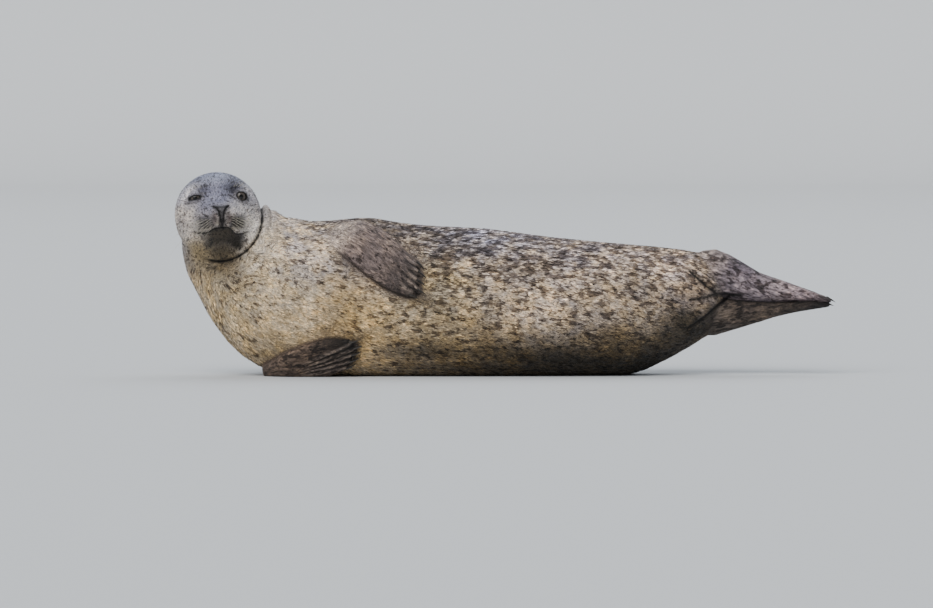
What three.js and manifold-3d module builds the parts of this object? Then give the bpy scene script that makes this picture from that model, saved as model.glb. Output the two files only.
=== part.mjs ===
// An adult harbor seal at life size, hauled out and resting on its right side, with the head raised and turned
// to look over its belly, and the hind flippers lifted and pressed together. Millimetres, +Z up.
// The body runs along X from the head (-X) to the hind flippers (+X), the belly faces -Y and the back +Y, and the
// seal's left side is up. The origin is at floor level, under the middle of the whole animal.
// Every piece is a loft through rings. The trunk and neck are one loft that is parted by thin cuts, and what is
// set on it is cut back to leave a small gap.

import * as THREE from "three";
import { mergeVertices } from "three/addons/utils/BufferGeometryUtils.js";
import Module from "manifold-3d";

const wasm = await Module();
wasm.setup();

// ---- driving dimensions ----
const GAP = 0.35; // clearance between neighbouring pieces, and the width of a cut
const FLOOR_DEPTH = 100; // thickness of the block that presses the underside flat
const FAR = 800; // wider than the trunk, for the blocks that cut it
const TRUNK_SIDES = 26;
const TRUNK_STEPS = 36;
const HEAD_SIDES = 26;
const HEAD_STEPS = 22;
const DIGITS = 5;
const POINTS_PER_DIGIT = 3; // points across each digit of a flipper

// Stations of the trunk from inside the head to the root of the tail: the centre (x, y, z), the lean of the
// section from upright in degrees, its half height along that lean, its half depths towards belly and back,
// and how squarely its lower half spreads on the floor.
const TRUNK = [
  { x: -718, y: -10, z: 446, lean: 89, half: 58, belly: 50, back: 70, spread: 0 },
  { x: -713, y: 0, z: 404, lean: 88, half: 82, belly: 84, back: 94, spread: 0 },
  { x: -711, y: 0, z: 368, lean: 80, half: 101, belly: 106, back: 114, spread: 0 },
  { x: -703, y: 0, z: 336, lean: 61, half: 117, belly: 120, back: 126, spread: 0 },
  { x: -677, y: 0, z: 301, lean: 45, half: 136, belly: 136, back: 139, spread: 0 },
  { x: -638, y: 0, z: 258, lean: 33, half: 163, belly: 153, back: 153, spread: 0.1 },
  { x: -588, y: 0, z: 220, lean: 25, half: 185, belly: 168, back: 166, spread: 0.2 },
  { x: -524, y: 0, z: 196, lean: 16, half: 198, belly: 180, back: 178, spread: 0.4 },
  { x: -437, y: 0, z: 191, lean: 7, half: 197, belly: 187, back: 185, spread: 0.5 },
  { x: -330, y: 0, z: 189, lean: 0, half: 194, belly: 190, back: 188, spread: 0.6 },
  { x: -200, y: 0, z: 185, lean: 0, half: 190, belly: 191, back: 189, spread: 0.6 },
  { x: -60, y: 1, z: 181, lean: 0, half: 187, belly: 188, back: 186, spread: 0.6 },
  { x: 80, y: 3, z: 172, lean: 0, half: 178, belly: 180, back: 178, spread: 0.6 },
  { x: 200, y: 5, z: 166, lean: 0, half: 171, belly: 169, back: 167, spread: 0.5 },
  { x: 305, y: 9, z: 163, lean: 0, half: 165, belly: 155, back: 153, spread: 0.4 },
  { x: 385, y: 14, z: 174, lean: 0, half: 146, belly: 137, back: 137, spread: 0.2 },
  { x: 450, y: 19, z: 188, lean: 0, half: 125, belly: 114, back: 117, spread: 0.1 },
  { x: 505, y: 24, z: 197, lean: 0, half: 99, belly: 82, back: 92, spread: 0 },
  { x: 540, y: 28, z: 202, lean: 0, half: 58, belly: 48, back: 56, spread: 0 },
];
const SHOULDER = { x: -352, reach: 78, angle: 12, spread: 34, height: 13 }; // the upper arm under the coat
const NAPE = { x: -706, reach: 34, rise: 31 }; // the fold of skin that the turned head pushes up
const NECK_CUT = { x: -622, z: 240, lean: 30 };
const TRUNK_CUTS = [-170, 250]; // chest from belly, belly from hips
const TRUNK_NAMES = ["neck", "chest", "belly", "hips"];

// The head's own frame has +X to the seal's right, +Y forwards out of the nose and +Z up through the crown.
const HEAD_PLACE = { x: -720, y: -45, z: 403, yaw: -175.5, roll: 2 };
// Its sections from the back of the skull to the nose: distance forwards, half width, height above and below the
// middle line, and how square the section is.
const SKULL = [
  { forward: -100, wide: 30, top: 30, under: 34, square: 0 },
  { forward: -86, wide: 68, top: 66, under: 72, square: 0 },
  { forward: -55, wide: 94, top: 92, under: 102, square: 0 },
  { forward: -18, wide: 106, top: 106, under: 118, square: 0 },
  { forward: 20, wide: 106, top: 102, under: 121, square: 0 },
  { forward: 50, wide: 98, top: 87, under: 115, square: 0 },
  { forward: 74, wide: 84, top: 64, under: 104, square: 0.1 },
  { forward: 94, wide: 69, top: 44, under: 90, square: 0.2 },
  { forward: 112, wide: 58, top: 32, under: 76, square: 0.3 },
  { forward: 128, wide: 49, top: 26, under: 60, square: 0.3 },
  { forward: 141, wide: 37, top: 21, under: 42, square: 0.2 },
  { forward: 149, wide: 22, top: 14, under: 26, square: 0 },
];
const WHISKER_PAD = { side: 27, forward: 130, up: -24, size: 24, height: 8 };
const EYE = { side: 55, forward: 67, up: 43, radius: 19 };
const NOSE = { forward: 148, up: 7, half: [21, 14, 15] };
const MOUTH = { forward: 140, up: -37, fall: 7, back: 28 }; // where the lips meet, and the jaw's hinge end

// ---- small helpers ----
const rad = THREE.MathUtils.degToRad;
const mix = THREE.MathUtils.lerp;
const bell = (x, middle, width) => Math.exp(-(((x - middle) / width) ** 2));

// A smooth value between evenly spaced keys, for t from 0 to 1.
function along(keys, t) {
  const span = Math.min(Math.max(t, 0), 1) * (keys.length - 1);
  const i = Math.min(Math.floor(span), keys.length - 2);
  const f = span - i;
  const key = (k) => keys[Math.min(Math.max(k, 0), keys.length - 1)];
  const [a, b, c, d] = [key(i - 1), key(i), key(i + 1), key(i + 2)];
  return b + 0.5 * f * (c - a + f * (2 * a - 5 * b + 4 * c - d + f * (3 * (b - c) + d - a)));
}

const station = (stations, name, t) => along(stations.map((s) => s[name]), t);

// How far a ring reaches in the direction (c, s): 1 on an ellipse, and more at the corners of a squarer section.
const squareness = (c, s, power) => (Math.abs(c) ** power + Math.abs(s) ** power) ** (-1 / power);

// A closed skin through rings of equal, even length. Each end is closed by rungs from one side to the other.
function loft(rings) {
  const sides = rings[0].length;
  const faces = [];
  for (let r = 0; r + 1 < rings.length; r++)
    for (let i = 0; i < sides; i++) {
      const [a, b] = [r * sides + i, r * sides + ((i + 1) % sides)];
      faces.push(a, b, b + sides, a, b + sides, a + sides);
    }
  for (const [start, turned] of [[0, false], [(rings.length - 1) * sides, true]])
    for (let i = 0; i < sides / 2; i++) {
      const [a, b] = [start + i, start + i + 1];
      const [c, d] = [start + ((sides - i) % sides), start + sides - i - 1];
      for (const face of [[a, c, b], [b, c, d]])
        if (new Set(face).size === 3) faces.push(...(turned ? face.reverse() : face));
    }
  const geometry = new THREE.BufferGeometry().setFromPoints(rings.flat());
  geometry.setIndex(faces);
  return geometry;
}

// The solid of a closed geometry, grown outwards by a distance where one is given.
function solid(geometry, grow = 0) {
  const bare = geometry.clone();
  for (const name of Object.keys(bare.attributes)) if (name !== "position") bare.deleteAttribute(name);
  const merged = mergeVertices(bare, 1e-3);
  const place = merged.getAttribute("position");
  const corners = Array.from(merged.index.array);
  const [a, b, c] = [new THREE.Vector3(), new THREE.Vector3(), new THREE.Vector3()];
  let volume = 0;
  for (let i = 0; i < corners.length; i += 3) {
    a.fromBufferAttribute(place, corners[i]);
    b.fromBufferAttribute(place, corners[i + 1]);
    c.fromBufferAttribute(place, corners[i + 2]);
    volume += a.dot(b.cross(c));
  }
  if (volume < 0) corners.reverse();
  merged.setIndex(corners);
  merged.computeVertexNormals();
  const normal = merged.getAttribute("normal");
  for (let i = 0; i < place.count; i++) {
    a.fromBufferAttribute(place, i).addScaledVector(b.fromBufferAttribute(normal, i), grow);
    place.setXYZ(i, a.x, a.y, a.z);
  }
  return new wasm.Manifold(
    new wasm.Mesh({ numProp: 3, vertProperties: place.array, triVerts: new Uint32Array(corners) }),
  );
}

function geometryOf(made) {
  const mesh = made.getMesh();
  const geometry = new THREE.BufferGeometry();
  geometry.setAttribute("position", new THREE.BufferAttribute(mesh.vertProperties, 3));
  geometry.setIndex(new THREE.BufferAttribute(mesh.triVerts, 1));
  geometry.computeVertexNormals();
  return geometry;
}

const volumeOf = (made) => made.volume();
const largest = (made) => made.decompose().sort((a, b) => volumeOf(b) - volumeOf(a))[0];
const boxGeometry = (x, y, z, width, depth, height) =>
  new THREE.BoxGeometry(width, depth, height).translate(x, y, z);

// ---- the trunk and neck ----
// A point of the trunk's surface, with t from head to tail. The angle in radians runs from the upper side (0)
// over the belly (half pi) to the floor (pi) and up the back.
function trunkPoint(t, angle, lift = 0) {
  const value = (name) => station(TRUNK, name, t);
  const lean = rad(value("lean"));
  const up = new THREE.Vector3(Math.sin(lean), 0, Math.cos(lean));
  const [c, s] = [Math.cos(angle), Math.sin(angle)];
  const reach = squareness(c, s, 2 + value("spread") * Math.max(0, -c));
  const depth = s > 0 ? value("belly") : value("back");
  const turn = Math.atan2(s, c);
  const near = bell(value("x"), SHOULDER.x, SHOULDER.reach);
  const shoulder = SHOULDER.height * near * bell(turn, rad(SHOULDER.angle), rad(SHOULDER.spread));
  const out = lift + shoulder;
  const nape = NAPE.rise * bell(value("x"), NAPE.x, NAPE.reach) * Math.max(0, c) ** 2;
  return new THREE.Vector3(value("x"), value("y"), value("z") + nape)
    .addScaledVector(up, (value("half") + out) * c * reach)
    .add(new THREE.Vector3(0, -(depth + out) * s * reach, 0));
}

// Where along the trunk its centre passes a given x.
function trunkAt(x) {
  let [low, high] = [0.2, 1];
  for (let i = 0; i < 30; i++) {
    const middle = (low + high) / 2;
    if (station(TRUNK, "x", middle) < x) low = middle;
    else high = middle;
  }
  return low;
}

function trunkGeometry() {
  const rings = [];
  for (let k = 0; k <= TRUNK_STEPS; k++) {
    const t = k / TRUNK_STEPS;
    rings.push(Array.from({ length: TRUNK_SIDES }, (_, i) => trunkPoint(t, (2 * Math.PI * i) / TRUNK_SIDES)));
  }
  return loft(rings);
}

// ---- the head ----
const headFrame = new THREE.Matrix4()
  .makeTranslation(HEAD_PLACE.x, HEAD_PLACE.y, HEAD_PLACE.z)
  .multiply(new THREE.Matrix4().makeRotationZ(rad(HEAD_PLACE.yaw)))
  .multiply(new THREE.Matrix4().makeRotationY(rad(HEAD_PLACE.roll)));

// The plump pads that carry the whiskers, as a push outwards at a point of the muzzle.
function padAt(point) {
  const dx = Math.abs(point.x) - WHISKER_PAD.side;
  const dy = point.y - WHISKER_PAD.forward;
  const dz = point.z - WHISKER_PAD.up;
  return WHISKER_PAD.height * Math.exp(-(dx * dx + dy * dy + dz * dz) / WHISKER_PAD.size ** 2);
}

function headGeometry() {
  const rings = [];
  for (let k = 0; k <= HEAD_STEPS; k++) {
    const value = (name) => station(SKULL, name, k / HEAD_STEPS);
    const ring = [];
    for (let i = 0; i < HEAD_SIDES; i++) {
      const angle = (2 * Math.PI * i) / HEAD_SIDES;
      const [c, s] = [Math.cos(angle), Math.sin(angle)];
      const reach = squareness(c, s, 2 + value("square"));
      const height = c > 0 ? value("top") : value("under");
      const point = new THREE.Vector3(value("wide") * s * reach, value("forward"), height * c * reach);
      const outwards = new THREE.Vector3(s, 0.5, c).normalize();
      ring.push(point.addScaledVector(outwards, padAt(point)));
    }
    rings.push(ring);
  }
  return loft(rings).applyMatrix4(headFrame);
}

const eyeGeometry = (side) =>
  new THREE.SphereGeometry(EYE.radius, 12, 8)
    .translate(side * EYE.side, EYE.forward, EYE.up)
    .applyMatrix4(headFrame);

const noseGeometry = () =>
  new THREE.SphereGeometry(1, 12, 8)
    .scale(NOSE.half[0], NOSE.half[1], NOSE.half[2])
    .translate(0, NOSE.forward, NOSE.up)
    .applyMatrix4(headFrame);

// The block below the lips, from the hinge of the jaw forwards.
function jawBlock() {
  const [length, width, height] = [300, 400, 300];
  return boxGeometry(0, length / 2, -height / 2, width, length, height)
    .translate(0, -(MOUTH.forward - MOUTH.back), 0)
    .rotateX(rad(MOUTH.fall))
    .translate(0, MOUTH.forward, MOUTH.up)
    .applyMatrix4(headFrame);
}

// ---- flippers ----
// A flipper is shaped flat: u runs along it from its root (0) to the tips (1), and q across it from the trailing
// edge (-1) to the leading edge (1). Its keys are evenly spaced along it, and lay() puts a flat point
// (along, across, height) in its place.
const WRIST_END = 0.35; // how far along the digits begin to show
function flipperPoint(shape, u, q, side) {
  const digit = Math.cos(Math.PI * (DIGITS * (q + 1) - 1)); // 1 on a digit, -1 in the web between two
  const end = shape.length + along(shape.reach, (q + 1) / 2) + shape.scallop * digit;
  const ridge = 1 + shape.ridge * digit * THREE.MathUtils.smoothstep(u, WRIST_END, 1);
  const edge = (1 - Math.abs(q) ** along(shape.flatness, u)) ** (1 / 2);
  const height = along(shape.thick, u) * edge * ridge;
  const curl = shape.curl * (q * u) ** 2;
  return shape.lay(
    mix(shape.start, end, u),
    along(shape.middle, u) + q * along(shape.wide, u),
    along(shape.lift, u) + curl + side * height,
  );
}

function flipperGeometry(shape) {
  const across = DIGITS * POINTS_PER_DIGIT;
  const rings = [];
  for (let k = 0; k <= shape.steps; k++) {
    const u = k / shape.steps;
    const ring = [];
    for (let j = 0; j <= across; j++) ring.push(flipperPoint(shape, u, (2 * j) / across - 1, 1));
    for (let j = across - 1; j > 0; j--) ring.push(flipperPoint(shape, u, (2 * j) / across - 1, -1));
    rings.push(ring);
  }
  return loft(rings);
}

// The upper, left fore flipper lies on the flank. It is laid on the trunk's own surface, where "across" is
// measured round the body.
const LEFT_WRIST = { x: -400, round: 150, slant: 26, radius: 195 };
function layOnFlank(p, w, h) {
  const slant = rad(LEFT_WRIST.slant);
  const x = LEFT_WRIST.x + p * Math.cos(slant) - w * Math.sin(slant);
  const round = LEFT_WRIST.round + p * Math.sin(slant) + w * Math.cos(slant);
  return trunkPoint(trunkAt(x), round / LEFT_WRIST.radius, h);
}
const FORE_LEFT = {
  name: "fore_flipper_left",
  lay: layOnFlank,
  steps: 8,
  start: -70,
  length: 208,
  reach: [-26, -8, 0, 12, -8],
  scallop: 4,
  ridge: 0.2,
  middle: [-28, -21, -13, 2, 11],
  wide: [44, 60, 68, 64, 50],
  thick: [8, 16, 15, 11, 5.5],
  lift: [-8, 5, 9, 8, 6],
  curl: 0,
  flatness: [2, 2.4, 2.8, 3, 3],
};

// The lower, right fore flipper stands on its trailing edge between the belly and the floor.
const RIGHT_WRIST = { x: -592, z: 22, rise: 9.7, lean: 38 };
const RIGHT_REACH = { start: -25, end: 235 }; // the stretch that its depths are given for
const RIGHT_DEPTH = [-78, -112, -128, -138, -147, -155, -160]; // y of its middle line, root to tips
function layOnFloor(p, w, h) {
  const [rise, lean] = [rad(RIGHT_WRIST.rise), rad(RIGHT_WRIST.lean)];
  const y = along(RIGHT_DEPTH, THREE.MathUtils.inverseLerp(RIGHT_REACH.start, RIGHT_REACH.end, p));
  const upright = w * Math.cos(lean) - h * Math.sin(lean);
  const outwards = w * Math.sin(lean) + h * Math.cos(lean);
  return new THREE.Vector3(
    RIGHT_WRIST.x + p * Math.cos(rise) - upright * Math.sin(rise),
    y - outwards,
    RIGHT_WRIST.z + p * Math.sin(rise) + upright * Math.cos(rise),
  );
}
const FORE_RIGHT = {
  name: "fore_flipper_right",
  lay: layOnFloor,
  steps: 8,
  start: -16,
  length: 214,
  reach: [-22, -8, 2, 10, -4],
  scallop: 4,
  ridge: 0.2,
  middle: [-10, -2, 1, 1, 2],
  wide: [16, 35, 50, 61, 50],
  thick: [12, 20, 18, 13, 6],
  lift: [0, 0, 0, 0, 0],
  curl: 0,
  flatness: [2, 2.2, 2.6, 3, 3],
};

// The hind flippers reach back sole to sole. Their keys run from inside the hips to the tips.
function hindFlipper(name, lift, thick, curl, reach) {
  return {
    name,
    lift,
    thick,
    curl,
    reach,
    steps: 9,
    lay: (p, w, h) => new THREE.Vector3(p, -w, h),
    start: 455,
    length: 790,
    scallop: 6,
    ridge: 0.16,
    middle: [-22, -27, -26, -24, -22, -18, -14, -10],
    wide: [40, 54, 54, 52, 56, 63, 70, 72],
    flatness: [2, 2, 2, 2.1, 2.3, 2.6, 3, 3],
  };
}
const HIND_LEFT = hindFlipper(
  "hind_flipper_left",
  [240, 257, 249, 234, 218, 210, 203, 189],
  [42, 58, 58, 49, 36, 28, 16, 8],
  -4,
  [26, -6, -22, -4, 26],
);
const HIND_RIGHT = hindFlipper(
  "hind_flipper_right",
  [156, 147, 147, 151, 157, 165, 172, 174],
  [42, 53, 43, 34, 25, 17, 14, 6],
  2,
  [20, -10, -26, -10, 22],
);

// ---- claws ----
// A claw grows from a digit's tip along the digit, and bends a little towards the sole.
const CLAW_RINGS = 3;
const CLAW_SIDES = 5;
const CLAW = { level: 0.4, sunk: 0.35, rise: 0.08, bend: 0.22, taper: 0.85, flat: 0.8 }; // as shares
function clawGeometry(shape, digit, length, radius) {
  const q = (2 * digit + 1) / DIGITS - 1;
  const back = flipperPoint(shape, 0.9, q, CLAW.level);
  const tip = flipperPoint(shape, 1, q, CLAW.level);
  const above = flipperPoint(shape, 0.95, q, 1).sub(flipperPoint(shape, 0.95, q, -1)).normalize();
  const forward = tip.clone().sub(back).normalize();
  const sideways = forward.clone().cross(above).normalize();
  const rings = [];
  for (let k = 0; k <= CLAW_RINGS; k++) {
    const s = k / CLAW_RINGS;
    const middle = tip
      .clone()
      .addScaledVector(forward, length * (s - CLAW.sunk))
      .addScaledVector(above, length * (CLAW.rise - CLAW.bend * s * s));
    const girth = radius * (1 - CLAW.taper * s ** 1.5);
    rings.push(
      Array.from({ length: CLAW_SIDES }, (_, i) => {
        const angle = (2 * Math.PI * i) / CLAW_SIDES;
        return middle
          .clone()
          .addScaledVector(sideways, CLAW.flat * girth * Math.cos(angle))
          .addScaledVector(above, girth * Math.sin(angle));
      }),
    );
  }
  return loft(rings);
}
const CLAWS = [
  { shape: FORE_LEFT, name: "claw_fore_left_", length: 26, radius: 4 },
  { shape: FORE_RIGHT, name: "claw_fore_right_", length: 26, radius: 4 },
  { shape: HIND_LEFT, name: "claw_hind_left_", length: 17, radius: 3 },
  { shape: HIND_RIGHT, name: "claw_hind_right_", length: 17, radius: 3 },
];

// ---- the tail ----
const TAIL = { start: 490, length: 112, y: 78, z: 196, slope: 14, steps: 8, sides: 12 };
const TAIL_WIDE = [30, 29, 24, 16, 5]; // half its width, root to tip
const TAIL_THICK = [20, 17, 13, 9, 4];
function tailGeometry() {
  const rings = [];
  for (let k = 0; k <= TAIL.steps; k++) {
    const t = k / TAIL.steps;
    const [wide, thick] = [along(TAIL_WIDE, t), along(TAIL_THICK, t)];
    rings.push(
      Array.from({ length: TAIL.sides }, (_, i) => {
        const angle = (2 * Math.PI * i) / TAIL.sides;
        return new THREE.Vector3(
          TAIL.start + TAIL.length * t,
          TAIL.y + TAIL.slope * t + thick * Math.sin(angle),
          TAIL.z + wide * Math.cos(angle),
        );
      }),
    );
  }
  return loft(rings);
}

// ---- putting the animal together ----
const COAT = 0xa39478;
const FLIPPER = 0x6d6256;
const DARK = 0x2b2725;
const group = new THREE.Group();
group.name = "harbor_seal";

function add(name, made, color, roughness) {
  const material = new THREE.MeshStandardMaterial({ color, roughness, metalness: 0 });
  const mesh = new THREE.Mesh(geometryOf(made), material);
  mesh.name = name;
  group.add(mesh);
}

const floor = solid(boxGeometry(0, 0, -FLOOR_DEPTH / 2, 3000, 2000, FLOOR_DEPTH));
const trunk = solid(trunkGeometry()).subtract(floor);
const trunkRoom = solid(trunkGeometry(), GAP);

// The head, with its eyes, nose and lower jaw set in.
const eyes = { right: eyeGeometry(1), left: eyeGeometry(-1) };
let head = solid(headGeometry());
for (const [side, eye] of Object.entries(eyes)) {
  add("eye_" + side, solid(eye), DARK, 0.1);
  head = head.subtract(solid(eye, GAP));
}
add("nose", head.intersect(solid(noseGeometry())), DARK, 0.5);
head = head.subtract(solid(noseGeometry(), GAP));
add("lower_jaw", largest(head.intersect(solid(jawBlock()))), COAT, 0.85);
add("head", largest(head.subtract(solid(jawBlock(), GAP))), COAT, 0.85);

// The trunk, parted into neck, chest, belly and hips.
const cuts = TRUNK_CUTS.map((x) => boxGeometry(x, 0, 0, GAP, FAR, FAR));
cuts.push(
  new THREE.BoxGeometry(FAR, FAR, GAP)
    .rotateY(rad(NECK_CUT.lean - 90))
    .translate(NECK_CUT.x, 0, NECK_CUT.z),
);
const parted = cuts
  .reduce((rest, cut) => rest.subtract(solid(cut)), trunk.subtract(solid(headGeometry(), GAP)))
  .decompose()
  .sort((a, b) => volumeOf(b) - volumeOf(a))
  .slice(0, TRUNK_NAMES.length)
  .sort((a, b) => a.boundingBox().min[0] - b.boundingBox().min[0]);
TRUNK_NAMES.forEach((name, i) => add(name, parted[i], COAT, 0.85));

// The flippers, cut back to what they lie on, with a claw set in each digit.
let taken = trunkRoom;
for (const shape of [FORE_LEFT, FORE_RIGHT, HIND_LEFT, HIND_RIGHT]) {
  let flipper = solid(flipperGeometry(shape)).subtract(floor).subtract(taken);
  const { name, length, radius } = CLAWS.find((c) => c.shape === shape);
  for (let digit = 0; digit < DIGITS; digit++) {
    const claw = clawGeometry(shape, digit, length, radius);
    add(name + (DIGITS - digit), largest(solid(claw).subtract(floor).subtract(taken)), DARK, 0.4);
    flipper = flipper.subtract(solid(claw, GAP));
  }
  taken = taken.add(solid(flipperGeometry(shape), GAP));
  add(shape.name, largest(flipper), FLIPPER, 0.8);
}

add("tail", largest(solid(tailGeometry()).subtract(taken)), COAT, 0.85);

// The origin goes under the middle of the whole animal.
const middle = new THREE.Box3().setFromObject(group).getCenter(new THREE.Vector3());
group.position.set(-middle.x, -middle.y, 0);

export default group;
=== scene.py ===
import functools
import math

import bmesh
import bpy
import numpy as np
from mathutils import Matrix, Vector
from mathutils.bvhtree import BVHTree


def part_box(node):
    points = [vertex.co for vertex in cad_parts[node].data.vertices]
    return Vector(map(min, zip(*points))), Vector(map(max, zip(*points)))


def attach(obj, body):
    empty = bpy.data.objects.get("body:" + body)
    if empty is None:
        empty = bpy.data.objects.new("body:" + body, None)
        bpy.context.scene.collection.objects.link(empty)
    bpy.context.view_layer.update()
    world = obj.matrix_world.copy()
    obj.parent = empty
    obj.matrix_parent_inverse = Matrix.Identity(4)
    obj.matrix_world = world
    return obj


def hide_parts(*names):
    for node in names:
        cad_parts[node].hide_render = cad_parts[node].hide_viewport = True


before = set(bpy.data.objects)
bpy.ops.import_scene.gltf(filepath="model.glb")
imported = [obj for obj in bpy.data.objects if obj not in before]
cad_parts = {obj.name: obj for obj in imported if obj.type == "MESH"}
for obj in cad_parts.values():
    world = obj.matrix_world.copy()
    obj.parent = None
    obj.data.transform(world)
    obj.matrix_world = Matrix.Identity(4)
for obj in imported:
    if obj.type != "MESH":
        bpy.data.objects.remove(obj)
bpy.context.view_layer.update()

# ---- The studio ----
# A pale floor runs up into a pale backdrop. Soft light comes from above and in front, and weaker light from
# above and behind. The camera looks across the floor at the belly with a long lens.
FLOOR = {
    "colour": (0.62, 0.64, 0.66, 1), "front": -40.0, "back": 24.0, "bend": 2.0, "steps": 12, "top": 9.0,
    "half_width": 24.0,
}
WORLD = {"colour": (0.72, 0.78, 0.86, 1), "strength": 0.42}
CAMERA = {"aim": (-0.096, 0.0, 0.1775), "width": 2.3325, "lens": 300.0, "rise": 2.0}
SUNS = {
    "key": {"from": (-0.45, -1.0, 0.95), "soft": 50, "strength": 3.1, "colour": (1.0, 0.985, 0.96)},
    "sky": {"from": (0.25, 0.75, 1.0), "soft": 60, "strength": 1.3, "colour": (0.92, 0.96, 1.0)},
}

scene = bpy.context.scene


def placed_object(name, data):
    """A new object with that data, linked to the scene."""
    made = bpy.data.objects.new(name, data)
    scene.collection.objects.link(made)
    return made


def shade_smooth(mesh):
    mesh.polygons.foreach_set("use_smooth", [True] * len(mesh.polygons))


def add_node(tree, kind, inputs=(), **settings):
    """Adds a node and wires or sets its inputs. A node among them stands for its first output."""
    node = tree.nodes.new(kind)
    for key, value in settings.items():
        setattr(node, key, value)
    for key, value in dict(inputs).items():
        value = value.outputs[0] if isinstance(value, bpy.types.Node) else value
        if hasattr(value, "is_output"):
            tree.links.new(value, node.inputs[key])
        else:
            node.inputs[key].default_value = value
    return node


def new_material(name, values):
    """A material with its plain shader's inputs set, its node tree and its shader."""
    material = bpy.data.materials.new(name)
    material.use_nodes = True
    shader = material.node_tree.nodes["Principled BSDF"]
    for title, value in values.items():
        shader.inputs[title].default_value = value
    return material, material.node_tree, shader


def colour_by(share, stops, tree, shader):
    """Blends the shader's colour between stops, each with its place from 0 to 1."""
    ramp = add_node(tree, "ShaderNodeValToRGB", {"Fac": share})
    for at, _ in stops[:-2]:
        ramp.color_ramp.elements.new(at)
    for stop, (at, colour) in zip(ramp.color_ramp.elements, stops):
        stop.position = at
        stop.color = (*colour, 1)
    tree.links.new(ramp.outputs["Color"], shader.inputs["Base Color"])


world = bpy.data.worlds.new("studio")
world.use_nodes = True
world.node_tree.nodes["Background"].inputs["Color"].default_value = WORLD["colour"]
world.node_tree.nodes["Background"].inputs["Strength"].default_value = WORLD["strength"]
scene.world = world

floor_mesh = bpy.data.meshes.new("floor")
floor_profile = [(FLOOR["front"], 0.0), (FLOOR["back"], 0.0)]
for step in range(1, FLOOR["steps"] + 1):
    turn, bend = math.radians(90 * step / FLOOR["steps"]), FLOOR["bend"]
    floor_profile.append((FLOOR["back"] + bend * math.sin(turn), bend - bend * math.cos(turn)))
floor_profile.append((FLOOR["back"] + FLOOR["bend"], FLOOR["top"]))
floor_points = [(x, y, z) for y, z in floor_profile for x in (-FLOOR["half_width"], FLOOR["half_width"])]
floor_faces = [(2 * i, 2 * i + 1, 2 * i + 3, 2 * i + 2) for i in range(len(floor_profile) - 1)]
floor_mesh.from_pydata(floor_points, [], floor_faces)
shade_smooth(floor_mesh)
floor = placed_object("floor", floor_mesh)
floor_mesh.materials.append(new_material("pale_floor", {"Base Color": FLOOR["colour"], "Roughness": 0.75})[0])

for name, light in SUNS.items():
    lamp = bpy.data.lights.new(name, "SUN")
    lamp.angle = math.radians(light["soft"])
    lamp.energy = light["strength"]
    lamp.color = light["colour"]
    sun = placed_object(name, lamp)
    sun.rotation_euler = (-Vector(light["from"])).to_track_quat("-Z", "Y").to_euler()

camera_data = bpy.data.cameras.new("camera")
camera_data.sensor_width = 36.0
camera_data.lens = CAMERA["lens"]
camera_data.clip_end = 100.0
camera = placed_object("camera", camera_data)
distance = CAMERA["width"] * CAMERA["lens"] / camera_data.sensor_width
rise = math.radians(CAMERA["rise"])
back = Vector((0, -math.cos(rise), math.sin(rise)))
camera.location = Vector(CAMERA["aim"]) + distance * back
camera.rotation_euler = (-back).to_track_quat("-Z", "Y").to_euler()
scene.camera = camera

# ---- The skin ----
# One skin runs over the head, trunk, tail and flippers, a coat's depth inside the solids. It is the solids
# joined and smoothed, fine on the head and flippers and coarser on the trunk, with the lids, nostrils, lips,
# pads, ears and folds drawn into it.
FLIPPERS = ["fore_flipper_left", "fore_flipper_right", "hind_flipper_left", "hind_flipper_right"]
TRUNK = ["head", "lower_jaw", "nose", "neck", "chest", "belly", "hips", "tail"]
GRAIN = 0.0033  # size of the finest squares that the whole skin starts from
KEPT_SHARE = 0.26  # share of the faces that are kept when the trunk is thinned out
VENT_FOLD_X = 0.485
ROUNDS = {"trunk": 150, "head": 45, "flipper": 5}  # of smoothing
SWELL_ROUNDS = {"body": 60, "flipper": 8}  # of smoothing for what the smoothing took off
COAT_DEPTH = {"trunk": 0.0022, "head": 0.0012, "flipper": 0.0008}
EYE_PLACE = {"side": 0.055, "forward": 0.067, "up": 0.043, "radius": 0.019}


def smooth_step(value, low, high):
    share = np.clip((value - low) / (high - low), 0, 1)
    return share * share * (3 - 2 * share)


def mound(*parts, power=2):
    """1 in the middle and falling off round it. Each part is a value with its middle and width."""
    return np.exp(-sum(((value - middle) / width) ** power for value, middle, width in parts))


def bell(value, middle, width):
    return mound((value, middle, width))


def joined_solids(names):
    joined = bmesh.new()
    for name in names:
        joined.from_mesh(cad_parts[name].data)
    bmesh.ops.remove_doubles(joined, verts=joined.verts, dist=1e-5)
    return joined


def mesh_numbers(items, title, wide, kind=float):
    """A named property of a mesh's points or edges, one row for each."""
    numbers = np.empty(len(items) * wide, kind)
    items.foreach_get(title, numbers)
    return numbers.reshape(-1, wide)


def mesh_points(mesh):
    return mesh_numbers(mesh.vertices, "co", 3)


def move_skin(points):
    """Sets the skin's points and gives its normals."""
    skin.data.vertices.foreach_set("co", points.ravel())
    skin.data.update()
    return mesh_numbers(skin.data.vertices, "normal", 3)


def solid_gaps(names, points, reach):
    """Distance of each point from the solids, which is the reach where none is so near."""
    solid = joined_solids(names)
    tree = BVHTree.FromBMesh(solid)
    solid.free()
    found = [tree.find_nearest(point, reach)[3] for point in points]
    return np.array([reach if gap is None else gap for gap in found])


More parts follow.
